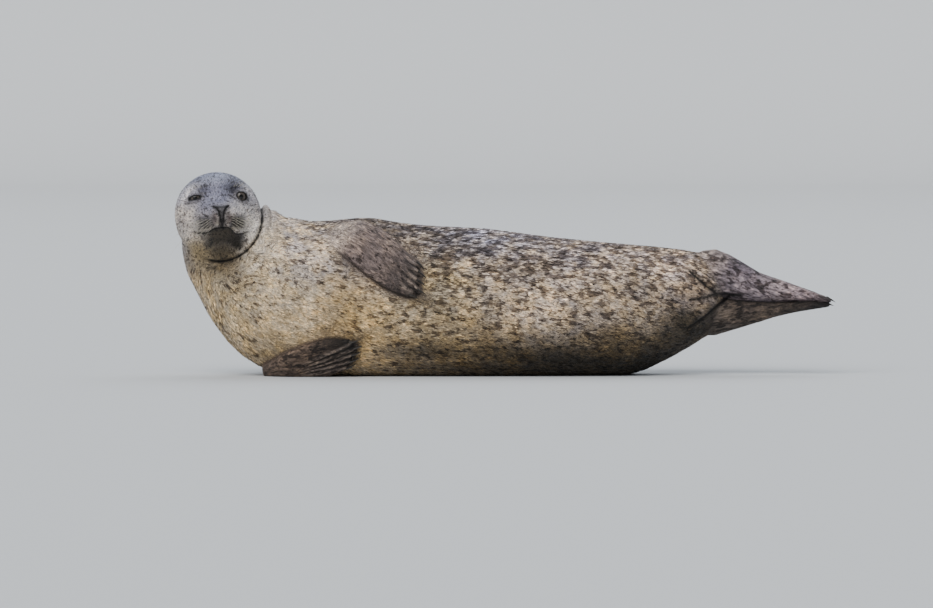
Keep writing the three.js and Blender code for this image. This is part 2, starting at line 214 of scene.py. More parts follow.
def smoothed(values, edges, rounds):
    """Values averaged with their neighbours along the edges, each for its own number of rounds."""
    values = values.copy()
    count = len(values)
    ends = np.concatenate([edges[:, 0], edges[:, 1]])
    others = np.concatenate([edges[:, 1], edges[:, 0]])
    neighbours = np.maximum(np.bincount(ends, minlength=count), 1)
    for turn in range(int(np.ceil(rounds.max()))):
        weight = np.clip(rounds - turn, 0, 1)[:, None] * 0.8
        around = np.stack(
            [np.bincount(ends, weights=values[others, k], minlength=count) for k in range(values.shape[1])], 1
        )
        values += weight * (around / neighbours[:, None] - values)
    return values


def evaluated_mesh(piece):
    """The piece's mesh with its modifiers applied, as a plain mesh."""
    depsgraph = bpy.context.evaluated_depsgraph_get()
    return bpy.data.meshes.new_from_object(piece.evaluated_get(depsgraph))


# The head's own axes: to the seal's right, forwards out of the nose, and up through the crown.
eye_centres = {side: (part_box("eye_" + side)[0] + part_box("eye_" + side)[1]) / 2 for side in ("left", "right")}
head_right = (eye_centres["right"] - eye_centres["left"]).normalized()
head_forward = Vector((-head_right.y, head_right.x, 0)).normalized()
head_up = head_right.cross(head_forward)
head_axes = np.array([head_right, head_forward, head_up])
head_centre = np.array((eye_centres["left"] + eye_centres["right"]) / 2) - (
    EYE_PLACE["forward"] * head_axes[1] + EYE_PLACE["up"] * head_axes[2]
)


def to_head(points):
    return (points - head_centre) @ head_axes.T


def from_head(points):
    return points @ head_axes + head_centre


skin_mesh = bpy.data.meshes.new("skin")
joined = joined_solids(TRUNK + FLIPPERS + ["eye_left", "eye_right"])
joined.to_mesh(skin_mesh)
joined.free()
skin = placed_object("skin", skin_mesh)
remesh = skin.modifiers.new("remesh", "REMESH")
remesh.mode = "VOXEL"
remesh.voxel_size = GRAIN
skin.data = evaluated_mesh(skin)
skin.modifiers.clear()

points = mesh_points(skin.data)
edges = mesh_numbers(skin.data.edges, "vertices", 2, np.int64)
on_flipper = 1 - smooth_step(solid_gaps(FLIPPERS, points, 0.014), 0, 0.014)
from_head_centre = np.linalg.norm(points - head_centre, axis=1)
on_head = 1 - smooth_step(from_head_centre, 0.11, 0.15)
rounds = ROUNDS["trunk"] * (1 - on_flipper) * (1 - on_head)
rounds = rounds + ROUNDS["head"] * on_head + ROUNDS["flipper"] * on_flipper
rough = points
points = smoothed(points, edges, rounds)
normals = move_skin(points)
shrunk = ((rough - points) * normals).sum(axis=1)[:, None]
swell_rounds = SWELL_ROUNDS["body"] * (1 - on_flipper) + SWELL_ROUNDS["flipper"] * on_flipper
points += normals * smoothed(shrunk, edges, swell_rounds)
normals = move_skin(points)
depth = COAT_DEPTH["trunk"] + (COAT_DEPTH["head"] - COAT_DEPTH["trunk"]) * on_head
depth += (COAT_DEPTH["flipper"] - depth) * on_flipper
points -= normals * depth[:, None]
move_skin(points)

at_vent = bell(points[:, 0], VENT_FOLD_X, 0.05)
at_neck = 1 - smooth_step(from_head_centre, 0.135, 0.16)
fine = np.maximum.reduce([on_flipper, at_neck, np.clip(2 * at_vent - 0.6, 0, 1)])
kept = skin.vertex_groups.new(name="fine")
for level in range(11):
    kept.add(np.flatnonzero(np.round(fine * 10) == level).tolist(), level / 10, "REPLACE")
thin = skin.modifiers.new("thin", "DECIMATE")
thin.ratio = KEPT_SHARE
thin.vertex_group = "fine"
thin.invert_vertex_group = True
skin.data = evaluated_mesh(skin)
skin.modifiers.clear()
skin.vertex_groups.clear()


def near_line(across, up, line):
    """Distance of flat points from a bent line."""
    nearest = np.full(len(across), 1e3)
    for (x0, y0), (x1, y1) in zip(line, line[1:]):
        dx, dy = x1 - x0, y1 - y0
        share = np.clip(((across - x0) * dx + (up - y0) * dy) / (dx * dx + dy * dy), 0, 1)
        nearest = np.minimum(nearest, np.hypot(across - x0 - share * dx, up - y0 - share * dy))
    return nearest


def mouth_height(across):
    """Where the lips meet, at a distance from the middle of the muzzle. The left corner hangs lower."""
    right = -11.5 * smooth_step(across, 12, 42) + 6.0 * smooth_step(across, 60, 78)
    left = -18.0 * smooth_step(-across, 14, 38) + 4.0 * smooth_step(-across, 50, 66)
    return -30.5 + right + left


def split_faces(mesh, chosen):
    """Cuts the edges of the faces whose middles are chosen in two."""
    cut = bmesh.new()
    cut.from_mesh(mesh)
    middles = np.array([face.calc_center_median() for face in cut.faces])
    wanted = chosen(to_head(middles) * 1000)
    cut.faces.ensure_lookup_table()
    cut_edges = {edge for index in np.flatnonzero(wanted) for edge in cut.faces[index].edges}
    bmesh.ops.subdivide_edges(cut, edges=list(cut_edges), cuts=1, use_grid_fill=True)
    cut.to_mesh(mesh)
    cut.free()


def eye_distance(place):
    away = [np.abs(place[:, 0]) - EYE_PLACE["side"] * 1000]
    away += [place[:, 1] - EYE_PLACE["forward"] * 1000, place[:, 2] - EYE_PLACE["up"] * 1000]
    return np.linalg.norm(np.stack(away, 1), axis=1)


def on_muzzle(place):
    return (place[:, 1] > 84) & (np.abs(place[:, 0]) < 74) & (place[:, 2] > -78) & (place[:, 2] < 34)


def on_nose(place):
    return (place[:, 1] > 118) & (np.abs(place[:, 0] + 4) < 27) & (place[:, 2] > -34) & (place[:, 2] < 30)


split_faces(skin.data, lambda place: on_muzzle(place) | (eye_distance(place) < 40))
split_faces(skin.data, lambda place: on_nose(place) | (eye_distance(place) < 28))
points = mesh_points(skin.data)
place = to_head(points) * 1000
softened = 6.0 * (on_muzzle(place) | (eye_distance(place) < 40))
points = smoothed(points, mesh_numbers(skin.data.edges, "vertices", 2, np.int64), softened)
normals = move_skin(points)
place = to_head(points) * 1000
side, forward, up = place.T
front = smooth_step(forward, 60, 80)
NOSE_ASIDE = 4.3  # the muzzle points a little to the seal's left
across = side + NOSE_ASIDE

LIMBS = ["trunk", *FLIPPERS]


def even_line(line, count):
    """Points at even steps along a bent line, and the length to each."""
    line = np.array(line)
    length = np.concatenate([[0], np.cumsum(np.linalg.norm(np.diff(line, axis=0), axis=1))])
    steps = np.linspace(0, length[-1], count)
    return np.stack([np.interp(steps, length, line[:, k]) for k in range(3)], 1), steps


def claw_centres(name):
    end, _, hand = name.split("_")
    return np.array([np.mean(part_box(f"claw_{end}_{hand}_{digit}"), axis=0) for digit in range(1, 6)])


def flipper_line(name):
    """From the root of a flipper to its claws."""
    solid = mesh_points(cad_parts[name].data)
    tip = claw_centres(name).mean(axis=0)
    away = np.linalg.norm(solid - tip, axis=1)
    root = solid[away > 0.88 * away.max()].mean(axis=0)
    return [root, tip]


limb_near = np.stack([solid_gaps([name], points, 0.02) for name in FLIPPERS], 1)

# The digits of each flipper are parted by grooves that fan out towards its claws, and a seam runs between the
# two hind flippers.
DIGIT_GROOVE = {"deep": 3.0, "wide": 2.4}
GROOVES_START = {  # share of the way to the claws
    "fore_flipper_left": 0.76,
    "fore_flipper_right": 0.40,
    "hind_flipper_left": 0.74,
    "hind_flipper_right": 0.74,
}
SEAM = {"deep": 5.0, "wide": 3.0}
groove, digit_ridge_highlight, shadowed_crease = np.zeros(len(points)), np.zeros(len(points)), np.zeros(len(points))
for index, name in enumerate(FLIPPERS):
    root, tip = flipper_line(name)
    axis = (tip - root) / np.linalg.norm(tip - root)
    claws = claw_centres(name)
    broad = claws[4] - claws[0]
    broad -= axis * (broad @ axis)
    broad /= np.linalg.norm(broad)
    angles = np.arctan2((claws - root) @ broad, (claws - root) @ axis)
    reaches = np.linalg.norm(claws - root, axis=1)
    out = points - root
    angle, reach = np.arctan2(out @ broad, out @ axis), np.linalg.norm(out, axis=1)
    between = (angles[:-1] + angles[1:]) / 2
    starts = (reaches[:-1] + reaches[1:]) / 2
    first = GROOVES_START[name]
    on_limb = limb_near[:, index] < 0.004
    for cut_angle, full in zip(between, starts):
        window = smooth_step(reach / full, first, first + 0.16) * on_limb
        from_cut = (angle - cut_angle) * reach * 1000
        groove = np.maximum(groove, window * bell(from_cut, 0, DIGIT_GROOVE["wide"]))
    for claw_angle, full in zip(angles, reaches):
        window = smooth_step(reach / full, first, first + 0.2) * on_limb
        digit_ridge_highlight = np.maximum(digit_ridge_highlight, window * bell((angle - claw_angle) * reach * 1000, 0, 4.5))
    # Along the trunk under the lower edge of the upper fore flipper runs a crease, painted dark as painted
    # shadow cast by the flipper.
    if name == "fore_flipper_left":
        under = out - np.outer(out @ axis, axis)
        along = out @ axis / np.linalg.norm(tip - root)
        window = smooth_step(-under[:, 2], 0.010, 0.025) * smooth_step(along, 0.05, 0.3)
        shadowed_crease = window * bell(limb_near[:, index] * 1000, 5.5, 3.0)
gap = (limb_near[:, 2] - limb_near[:, 3]) * 1000
seam = bell(gap, 0, SEAM["wide"]) * (1 - smooth_step(limb_near[:, 2:].max(axis=1), 0.006, 0.012))

# Folds of loose skin run from the belly to the vent, on the side that shows.
VENT_FOLDS = [
    (1.0, [(0.462, 0.262), (0.476, 0.250), (0.503, 0.225), (0.529, 0.205)]),
    (0.85, [(0.461, 0.190), (0.495, 0.193), (0.529, 0.205)]),
    (1.0, [(0.562, 0.197), (0.529, 0.172), (0.498, 0.145), (0.455, 0.117)]),
    (1.0, [(0.529, 0.203), (0.590, 0.196)]),
]
VENT_FOLD = {"deep": 5.0, "wide": 4.0}
on_belly_side = normals[:, 1] < -0.05
vent = np.zeros(len(points))
for strength, fold in VENT_FOLDS:
    from_line = near_line(points[:, 0], points[:, 2], fold) * 1000
    vent = np.maximum(vent, strength * bell(from_line, 0, VENT_FOLD["wide"]) * on_belly_side)
swell = near_line(points[:, 0], points[:, 2], [(0.490, 0.165), (0.540, 0.198)]) * 1000
lift = 3.0 * bell(swell, 0, 12) * on_belly_side - VENT_FOLD["deep"] * vent
lift -= DIGIT_GROOVE["deep"] * groove + SEAM["deep"] * seam + 3.0 * shadowed_crease
points += normals * (lift / 1000)[:, None]

# The pads swell out over the lips, with the chin below them, and the cheeks behind.
pad = mound((np.abs(across), 37, 22), (forward, 118, 28), (up, -18, 17))
chin = mound((across, 0, 28), (forward, 112, 24), (up, -58, 17))
cheek = mound((np.abs(side), 78, 26), (forward, 48, 34), (up, -22, 30))
bridge = mound((across, 0, 17), (forward, 108, 26), (up, 38, 16))
brow = mound((np.abs(side), 50, 17), (up, 66, 9)) * (forward > 30)
stop = mound((side, 0, 16), (up, 62, 22)) * (forward > 30)
lift = 7.0 * pad + 3.5 * chin + 3.0 * cheek + 2.0 * bridge + 2.5 * brow - 1.5 * stop

# The lips meet in a fine groove that drops towards the corners, under a full upper lip.
from_lips = up - mouth_height(across)
lip_window = front * (1 - smooth_step(np.abs(across), 60, 74)) * (forward > 60)
lift += lip_window * (-4.2 * bell(from_lips, 0, 2.0) + 2.4 * bell(from_lips, 6, 4.5))
lift -= lip_window * 2.2 * bell(from_lips, -7, 6)
cleft = bell(across, 0, 1.6) * smooth_step(up, -33, -28) * (1 - smooth_step(up, -10, -4)) * (forward > 110)
lift -= 2.2 * cleft

# The nose is a flat pad between two slits, which open outwards at the top.
nose_pad = mound((across, 0, 19), (up, 11, 14), power=4) * (forward > 100)
lift += 2.2 * nose_pad
SLIT = [(19, 23), (13, 19), (7, 11), (4.6, -2), (3.2, -16)]
slit = near_line(np.abs(across), up, SLIT)
slit_width = 1.1 + 0.9 * smooth_step(up, 0, 16)
lift -= 5.5 * bell(slit, 0, slit_width) * (forward > 112)
lift += 1.6 * bell(slit, 4.5, 2.6) * (forward > 112) * (np.abs(across) > 7)

# The ear is a short slit behind and below the eye.
EAR = [(4, 62), (9, 55), (9, 48)]
ear_line = near_line(forward, up, EAR)
lift -= 4.5 * bell(ear_line, 0, 1.9) * (np.abs(side) > 60)
lift += 1.2 * bell(ear_line, 5, 2.5) * (np.abs(side) > 60)

# The throat folds round under the jaw where the head turns on the neck, with fainter folds further down.
THROAT_FOLDS = [  # distance from the head's axis, depth, width, and how much further out each hangs below
    (111, 8.0, 3.4, 5),
    (136, 2.6, 4.0, 0),
    (160, 3.0, 5.0, 0),
]


def round_throat(side, forward, up):
    """The angle round the head's axis, the distance from it, and where the folds show."""
    around = np.degrees(np.arctan2(up, -side))
    window = smooth_step(around, -116, -98) * (1 - smooth_step(around, 12, 30))
    return around, np.hypot(side, up), window * (forward > -60) * (forward < 120)


def from_throat_fold(around, from_axis, radius, below):
    return from_axis - radius - below * smooth_step(-around, 40, 90)


around, from_axis, fold_window = round_throat(side, forward, up)
for radius, deep, wide, below in THROAT_FOLDS:
    from_fold = from_throat_fold(around, from_axis, radius, below)
    beside = bell(np.abs(from_fold), 3.2 * wide, 2 * wide)
    lift -= fold_window * deep * (bell(from_fold, 0, wide) - 0.55 * beside)
points += normals * (lift / 1000)[:, None]

# The lids lie on the eyeballs. The left eye is open and the right one half closed.
LIDS = {"left": {"wide": 12.5, "high": 9.4, "tilt": -20}, "right": {"wide": 14.5, "high": 3.9, "tilt": -11}}
GAZE = (0.24, 0.95, 0.10)  # outwards, forwards, up
LID_THICKNESS = 1.3
from_rim = {}
for eye_side, outwards in (("right", 1), ("left", -1)):
    lids = LIDS[eye_side]
    gaze = np.array([outwards * GAZE[0], GAZE[1], GAZE[2]])
    gaze /= np.linalg.norm(gaze)
    level = np.cross(gaze, (0, 0, 1))
    level /= np.linalg.norm(level)
    upright = np.cross(level, gaze)
    centre = np.array([outwards * EYE_PLACE["side"], EYE_PLACE["forward"], EYE_PLACE["up"]]) * 1000
    radius = EYE_PLACE["radius"] * 1000
    reach = to_head(points) * 1000 - centre
    tilt = math.radians(lids["tilt"]) * outwards
    level, upright = (
        level * math.cos(tilt) + upright * math.sin(tilt),
        upright * math.cos(tilt) - level * math.sin(tilt),
    )
    across, high, height = reach @ level, reach @ upright, reach @ gaze
    share = np.maximum(np.hypot(across / lids["wide"], high / lids["high"]), 0.02)
    slope = np.hypot(across / lids["wide"] ** 2, high / lids["high"] ** 2) / share
    rim = (share - 1) / np.maximum(slope, 0.02)
    rim[(height < -6) | (np.hypot(across, high) > 45)] = 60
    from_rim[eye_side] = rim
    ball = np.sqrt(np.maximum(radius**2 - across**2 - high**2, 0))
    lid = np.sqrt(np.maximum((radius + LID_THICKNESS) ** 2 - across**2 - high**2, 0))
    lid_top = (height + lid + np.hypot(height - lid, 2.0)) / 2 + 0.9 * bell(rim, 1.6, 1.8)
    lid_top -= 1.3 * bell(rim, 8.5, 1.8) - 0.8 * bell(rim, 12.5, 3.0)
    hold = (1 - smooth_step(rim, 6, 16)) * smooth_step(height, -6, 2)
    wrapped = np.maximum(height + (lid_top - height) * hold, lid - 0.5)
    inside = 1 - smooth_step(rim, -1.2, 0.2)
    target = wrapped * (1 - inside) + (ball - 4.0) * inside
    moved = points + from_head(((target - height)[:, None] * gaze) / 1000) - head_centre
    points = np.where((rim < 20)[:, None], moved, points)

shade_smooth(skin.data)
normals = move_skin(points)

# The coat lies from the nose over the head and back to the tail, and down each flipper to its claws.
SPINE = [
    from_head(np.array([0.0, 0.148, -0.005])),
    from_head(np.array([0.0, 0.06, 0.0])),
    from_head(np.array([0.0, -0.01, -0.02])),
    np.array([-0.66, 0.0, 0.32]),
    np.array([-0.54, 0.0, 0.25]),
    np.array([-0.3, 0.0, 0.2]),
    np.array([0.0, 0.0, 0.19]),
    np.array([0.3, 0.0, 0.16]),
    np.array([0.5, 0.0, 0.125]),
    np.array([0.64, 0.0, 0.11]),
]


def along_line(points, line, count, blur):
    """For each point its station on the line, the line's direction there, and the two parts of its offset."""
    stops, steps = even_line(line, count)
    headings = np.gradient(stops, axis=0)
    headings /= np.linalg.norm(headings, axis=1)[:, None]
    stations, heading, centre = np.empty(len(points)), np.empty((len(points), 3)), np.empty((len(points), 3))
    for start in range(0, len(points), 20000):
        part = points[start : start + 20000]
        squared = ((part[:, None, :] - stops[None]) ** 2).sum(axis=2)
        weight = np.exp(-(squared - squared.min(axis=1)[:, None]) / (2 * blur**2))
        weight /= weight.sum(axis=1)[:, None]
        stations[start : start + 20000] = weight @ steps
        heading[start : start + 20000] = weight @ headings
        centre[start : start + 20000] = weight @ stops
    heading /= np.linalg.norm(heading, axis=1)[:, None]
    sideways = np.cross(heading, (0.0, 0.0, 1.0))
    sideways /= np.linalg.norm(sideways, axis=1)[:, None]
    upwards = np.cross(sideways, heading)
    offset = points - centre
    return stations, heading, (offset * sideways).sum(axis=1), (offset * upwards).sum(axis=1)


lines = {"trunk": SPINE, **{name: flipper_line(name) for name in FLIPPERS}}
LINE_BLUR = 0.03


def line_stops(limb_name):
    """How many stops the limb's line is taken in."""
    return 90 if limb_name == "trunk" else 20


found = {name: along_line(points, lines[name], line_stops(name), LINE_BLUR) for name in LIMBS}
limb = np.where(limb_near.min(axis=1) < 0.0045, 1 + limb_near.argmin(axis=1), 0)
on_flipper = 1 - smooth_step(limb_near.min(axis=1), 0.001, 0.016)

lie = found["trunk"][1].copy()
comb = np.stack([0.15 * found["trunk"][0], found["trunk"][2], found["trunk"][3]], 1)
nearest_limb = limb_near.argmin(axis=1)
for index, name in enumerate(FLIPPERS):
    here = (nearest_limb == index) & (on_flipper > 0)
    share = on_flipper[here][:, None]
    lie[here] = lie[here] * (1 - share) + found[name][1][here] * share
    own = np.stack([0.15 * found[name][0], found[name][2], found[name][3]], 1)
    comb[here] = comb[here] * (1 - share) + own[here] * share
lie[:, 2] -= 0.12 * (1 - on_flipper) * (points[:, 0] > -0.6)
lie -= normals * (lie * normals).sum(axis=1)[:, None]
lie /= np.maximum(np.linalg.norm(lie, axis=1), 1e-6)[:, None]

# ---- The markings ----
# The coat is blue-grey on the head and back and tan to yellow-brown below, and browner towards the tail. The
# nose is near black, and the lip line, lid rims, slits and folds are painted near black, partly as painted shade
# in them. These are colours at places with a size, blended between.
TONES = [
    ((-0.72, -0.02, 0.53), 0.08, (158, 166, 194)),
    ((-0.72, -0.13, 0.46), 0.05, (140, 142, 166)),
    ((-0.800, -0.09, 0.455), 0.03, (240, 237, 246)),
    ((-0.640, -0.09, 0.455), 0.03, (198, 196, 206)),
    ((-0.80, -0.10, 0.38), 0.05, (212, 203, 198)),
    ((-0.64, -0.12, 0.38), 0.05, (246, 242, 242)),
    ((-0.76, -0.10, 0.31), 0.04, (160, 142, 108)),
    ((-0.70, -0.14, 0.29), 0.06, (104, 91, 68)),
    ((-0.66, -0.10, 0.20), 0.07, (212, 194, 160)),
    ((-0.60, -0.12, 0.30), 0.07, (216, 204, 186)),
    ((-0.50, -0.16, 0.33), 0.09, (242, 230, 220)),
    ((-0.50, -0.16, 0.18), 0.09, (208, 192, 166)),
    ((-0.55, -0.12, 0.08), 0.07, (182, 164, 132)),
    ((-0.38, -0.17, 0.16), 0.08, (200, 174, 128)),
    ((-0.30, -0.14, 0.34), 0.12, (178, 168, 164)),
    ((-0.15, -0.20, 0.22), 0.12, (196, 180, 150)),
    ((-0.10, -0.16, 0.09), 0.08, (168, 146, 108)),
    # The near-black tones along the bottom, where the belly lies on the floor, are wet brown coat and partly
    # painted shade.
    ((-0.20, -0.12, 0.01), 0.09, (20, 17, 12)),
    ((-0.05, -0.15, 0.02), 0.08, (20, 17, 12)),
    ((0.10, -0.13, 0.01), 0.09, (26, 22, 16)),
    ((0.24, -0.12, 0.02), 0.08, (22, 19, 14)),
    ((0.05, -0.18, 0.24), 0.12, (234, 216, 196)),
    ((-0.05, -0.05, 0.38), 0.12, (214, 214, 234)),
    ((0.20, -0.08, 0.34), 0.10, (234, 224, 226)),
    ((0.30, -0.14, 0.22), 0.10, (196, 180, 162)),
    ((0.28, -0.14, 0.08), 0.07, (100, 86, 62)),
    ((0.40, -0.08, 0.30), 0.08, (244, 230, 226)),
    ((0.47, -0.10, 0.22), 0.06, (184, 166, 150)),
    ((0.45, -0.10, 0.12), 0.06, (78, 70, 56)),
    # The near-black tones low down towards the tail are wet brown coat and partly painted shade by the floor.
    ((0.34, -0.06, 0.03), 0.08, (28, 25, 18)),
    ((0.50, -0.06, 0.09), 0.06, (32, 29, 23)),
    ((0.62, -0.04, 0.16), 0.06, (110, 100, 92)),
    ((0.0, 0.18, 0.26), 0.14, (132, 134, 146)),
    ((-0.4, 0.18, 0.26), 0.12, (138, 140, 150)),
    ((0.4, 0.14, 0.2), 0.12, (134, 130, 130)),
    ((-0.72, 0.08, 0.42), 0.08, (146, 148, 160)),
    ((0.0, 0.16, 0.06), 0.12, (112, 104, 94)),
]
FLIPPER_TONES = {  # towards the root and at the tips, and where along the flipper its own colour sets in
    "fore_flipper_left": ((134, 120, 115), (70, 63, 61), (0.0, 0.35)),
    # The right fore flipper lies low by the floor; its dark tones are its own dark colour and partly painted
    # shade.
    "fore_flipper_right": ((102, 88, 78), (26, 22, 20), (-0.35, 0.05)),
    "hind_flipper_left": ((154, 143, 151), (164, 148, 156), (-0.1, 0.4)),
    "hind_flipper_right": ((80, 71, 65), (44, 38, 36), (-0.1, 0.3)),
}
SLIT_SHADE = (26, 23, 22)
FOLD_SHADE = (14, 12, 12)
PAD_GREY = (30, 28, 30)
CHIN_BROWN = (58, 52, 44)


def linear(colour):
    share = np.array(colour, float) / 255
    return np.where(share <= 0.04045, share / 12.92, ((share + 0.055) / 1.055) ** 2.4)


weights = np.stack([1 / (((points - at) ** 2).sum(axis=1) / size**2 + 0.12) ** 2 for at, size, _ in TONES], 1)
weights /= weights.sum(axis=1)[:, None]
tone = weights @ np.array([linear(colour) for _, _, colour in TONES])


def paint(mask, colour):
    """Turns the tone towards a colour, all the way where the mask is 1."""
    tone[:] = tone + (linear(colour) - tone) * np.clip(mask, 0, 1)[:, None]


for index, name in enumerate(FLIPPERS):
    length = np.linalg.norm(np.subtract(*lines[name]))
    share = found[name][0] / length
    near_root, at_tips, sets_in = FLIPPER_TONES[name]
    here = on_flipper * (nearest_limb == index) * smooth_step(share, *sets_in)
    paint(here, near_root)
    paint(here * smooth_step(share, 0.5, 1.0), at_tips)
hind_end = on_flipper * (nearest_limb > 1) * smooth_step(points[:, 0], 0.735, 0.80)
paint(0.75 * hind_end, (40, 34, 35))
on_back = bell(points[:, 2], 0.27, 0.035) * bell(points[:, 0], 0.60, 0.06) * (nearest_limb == 2) * on_flipper
paint(0.7 * on_back, (92, 86, 104))
# The backs of the digits are painted lighter as painted highlight along their ridges.
paint(0.5 * digit_ridge_highlight * (nearest_limb < 2), (158, 146, 138))
# The grooves between the digits are painted near black as painted shade in them.
paint(0.95 * groove, FOLD_SHADE)
# The crease under the upper fore flipper is painted dark as painted shadow of the flipper's edge.
paint(0.8 * shadowed_crease, (52, 44, 38))
# The seam between the hind flippers and the folds by the vent are painted near black as painted shade in them.
paint(0.95 * np.maximum(seam, np.sqrt(vent)), (16, 13, 13))

place = to_head(points) * 1000
side, forward, up = place.T
face = (forward > 60).astype(float)
rim_near = np.minimum(from_rim["left"], from_rim["right"])
across = side + NOSE_ASIDE
# Grey patches over the eyes, dark inner corners, and rings round the lids. The dark ring under each eye and the
# line into each inner corner are painted shade in the lid's fold and slit.
patches = mound((np.abs(side), 39, 22), (up, 70, 20)) * (forward > 10)
paint(np.where(side > 0, 0.45, 0.90) * patches, (72, 73, 92))
inner = mound((np.abs(side), 37, 13), (up, 59, 13)) * face
paint(np.where(side > 0, 0.50, 0.85) * inner, (44, 42, 54))
paint(0.5 * bell(rim_near, 5, 3), (110, 105, 108))
paint(0.7 * bell(rim_near, 9.5, 1.7) * (up < 40), (58, 54, 56))
corner_line = np.minimum(
    near_line(side, up, [(50, 47.5), (34, 45.9)]), near_line(side, up, [(-40, 41), (-28, 48)])
)
paint(0.85 * bell(corner_line, 0, 2.2) * face, SLIT_SHADE)
# The dark pads beside the nose, and the chin under the lips.
on_pad = mound((np.abs(across), 37, 24), (up, -18, 19), power=4) * (forward > 80)
# The seal's right pad is painted less dark than the left, partly as painted highlight on the side that takes the
# light.
paint(np.where(side > 0, 0.74, 0.98) * on_pad, PAD_GREY)
beside_nose = mound((np.abs(across), 17, 9), (up, -4, 16)) * (forward > 105)
paint(0.85 * beside_nose, (56, 44, 50))
from_mouth = up - mouth_height(across)
below_lips = smooth_step(-from_mouth, -1, 4) * (1 - smooth_step(-from_mouth, 30, 50))
on_chin = (1 - smooth_step(across, 22, 60)) * (1 - smooth_step(-across, 40, 72)) * (forward > 60)
paint(0.95 * below_lips * on_chin, CHIN_BROWN)
paint(0.5 * bell(from_mouth, 7, 3.5) * bell(across, 40, 16) * (forward > 80), (150, 142, 130))
# The black nose, dark follicles in rows with painted shadow along the rows of whiskers, and painted shade in the
# slits, the cleft and the line where the lips meet.
slit = near_line(np.abs(across), up, SLIT)
nose_top = np.exp(-((across / 21) ** 6 + ((up - 20) / 5.0) ** 4))
nose_dark = np.maximum(nose_top, mound((across, 0, 9 + 0.45 * np.maximum(up, 0)), (up, 3, 20), power=4))
below_nose = mound((across, 0, 11), (up, -20, 13), power=4) * (forward > 105)
paint(0.94 * below_nose, (22, 19, 20))
row_phase = (up + 9 + 0.15 * (np.abs(across) - 20)) / 6.0
follicle_dots_and_shade = np.cos(np.pi * row_phase) ** 8 * (0.5 + 0.5 * np.cos(2 * np.pi * (np.abs(across) - 16) / 8.5))
paint(0.9 * follicle_dots_and_shade * on_pad, (20, 17, 17))
paint(0.92 * nose_dark * (forward > 105), (38, 35, 38))
paint(bell(slit, 0, 2.6) * (forward > 108), (10, 8, 8))
cleft = bell(across, 0, 2.4) * smooth_step(up, -33, -29) * (1 - smooth_step(up, -14, -6)) * (forward > 110)
paint(0.95 * cleft, (18, 15, 15))
lip_line_shade = bell(from_mouth, 0, 2.8) * (1 - smooth_step(np.abs(across), 62, 76)) * (forward > 60)
paint(lip_line_shade, FOLD_SHADE)
# The rims of the lids, dark skin widened by painted shade of the lids, and painted shade in the ears and the
# fold of the throat.
paint(1 - smooth_step(rim_near, 1.4, 4.6), (14, 12, 13))
ear_line = near_line(forward, up, EAR)
paint(0.9 * bell(ear_line, 0, 3.0) * (np.abs(side) > 60), SLIT_SHADE)
around, from_axis, fold_window = round_throat(side, forward, up)
fold_line = from_throat_fold(around, from_axis, THROAT_FOLDS[0][0], THROAT_FOLDS[0][3])
fold_width = 3.7 + 0.9 * np.sin(0.55 * around)
paint(fold_window * mound((fold_line, 0, fold_width), power=4), FOLD_SHADE)

# How thickly spotted the coat is, how long, and how many tufts to the square metre.
LENGTHS = {"trunk": 0.0100, "head": 0.0050, "flipper": 0.0042}
TUFTS_TO_A_SQUARE_METRE = 61000  # on the trunk, and more where they are shorter
from_head_centre = np.linalg.norm(points - head_centre, axis=1)
on_head = 1 - smooth_step(from_head_centre, 0.12, 0.17)
on_nape = 1 - smooth_step(from_head_centre, 0.10, 0.28)
above = smooth_step(points[:, 2], 0.12, 0.34)
spotted = 0.20 + 0.75 * above + 0.3 * smooth_step(points[:, 1], -0.05, 0.12)
spotted -= 0.7 * bell(points[:, 0], -0.50, 0.13) * smooth_step(-points[:, 1], 0.02, 0.10)
spotted *= (1 - np.where(nearest_limb < 2, 1.3, 0.6) * on_flipper) * (1 - 0.7 * on_nape)
warm = (1 - on_head) * (1 - on_flipper)
blotched = spotted * (1 - on_nape) - 0.5 * on_nape
length = LENGTHS["trunk"] * (1 - on_head) + LENGTHS["head"] * on_head
length = length * (1 - on_flipper) + LENGTHS["flipper"] * on_flipper
in_folds = np.maximum.reduce([vent**0.25, seam, shadowed_crease, fold_window * bell(fold_line, 0, 7)])
length *= 1 - 0.6 * np.clip(1.3 * in_folds, 0, 1)
length *= 1 - 0.5 * smooth_step(forward, 80, 125) * (1 - smooth_step(np.abs(side), 60, 90))
bare = np.maximum.reduce([
    1 - smooth_step(rim_near, 1.5, 3.5), 0.9 * groove, 0.85 * np.maximum(vent, seam),
    fold_window * bell(fold_line, 0, 2.2), nose_dark * (forward > 105), lip_line_shade,
    bell(slit, 0, 3.5) * (forward > 108), bell(ear_line, 0, 2.5) * (np.abs(side) > 60),
])
fur = TUFTS_TO_A_SQUARE_METRE * (LENGTHS["trunk"] / length) ** 1.05 * np.clip(1.15 - 1.4 * bare, 0, 1)


def store(mesh, name, kind, values):
    layer = mesh.attributes.new(name, kind, "POINT")
    field = "value" if kind == "FLOAT" else "color" if kind == "FLOAT_COLOR" else "vector"
    layer.data.foreach_set(field, np.ascontiguousarray(values, dtype=np.float32).ravel())


store(skin.data, "tone", "FLOAT_COLOR", np.concatenate([tone, np.ones((len(tone), 1))], 1))
for title, vectors in (("root", points), ("comb", comb), ("lie", lie)):
    store(skin.data, title, "FLOAT_VECTOR", vectors)
for title, numbers in (
    ("warm", warm), ("on_head", on_head), ("on_flipper", on_flipper), ("spotted", spotted),
    ("blotched", blotched), ("length", length), ("fur", fur),
):
    store(skin.data, title, "FLOAT", numbers)


